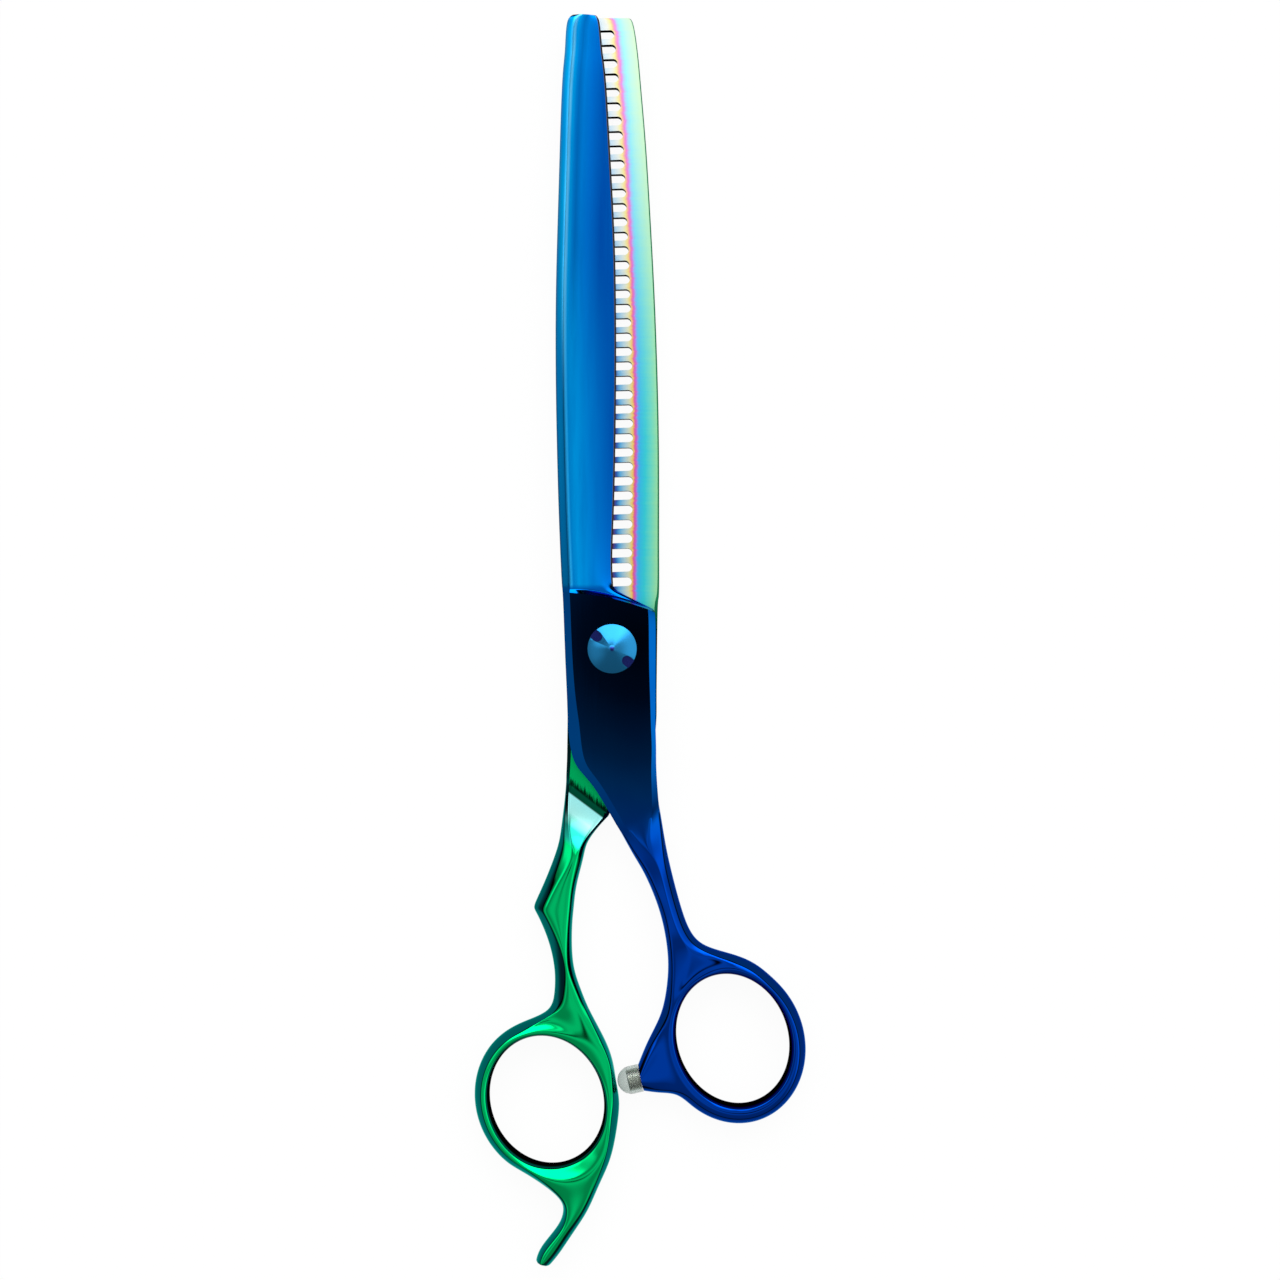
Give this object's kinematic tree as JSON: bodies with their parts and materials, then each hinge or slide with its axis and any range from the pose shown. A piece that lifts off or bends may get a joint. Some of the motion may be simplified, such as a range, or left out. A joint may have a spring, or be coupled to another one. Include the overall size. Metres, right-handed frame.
{
  "type": "thinning shears",
  "caption": "Thinning shears: a plain blade over a slotted comb blade on a tension screw, with oval finger rings, a curved finger rest and a rubber bumper.",
  "frame": {"origin": "on the pivot axis, in the plane of the back faces that the shears rest on when they lie flat", "axes": "+Y along the closed blades towards the tips, +Z along the pivot out of the front face with the screw head, +X towards the comb's spine"},
  "size_m": [0.0582, 0.2197, 0.0072],
  "materials": {
    "blue_coated_steel": "polished steel with a deep blue vapour coating",
    "green_coated_steel": "polished steel with a green vapour coating that turns to rainbow tints along the comb",
    "turned_steel": "lathe-turned steel with a light blue vapour coating",
    "bare_steel": "plain steel",
    "nylon": "natural nylon",
    "bronze": "turned bearing bronze",
    "clear_rubber": "clear silicone rubber"
  },
  "bodies": {
    "comb_half": {"comb_blade": "green_coated_steel", "pivot_nut": "bare_steel", "ride_washer": "nylon"},
    "plain_half": {"plain_blade": "blue_coated_steel", "pivot_bush": "bronze", "thrust_washer": "nylon", "bumper_cap": "clear_rubber", "bumper_stud": "bare_steel"},
    "tension_screw": {"pivot_screw": "turned_steel", "spring_washer": "bare_steel"}
  },
  "joints": [
    {"name": "blade_pivot", "type": "hinge", "parent": "comb_half", "child": "plain_half", "pos_m": [0, 0, 0.003], "axis": [0, 0, 1], "range_deg": [0, 120]},
    {"name": "screw_turn", "type": "hinge", "parent": "comb_half", "child": "tension_screw", "pos_m": [0, 0, 0.003], "axis": [0, 0, 1], "range_deg": [-90, 90]}
  ]
}
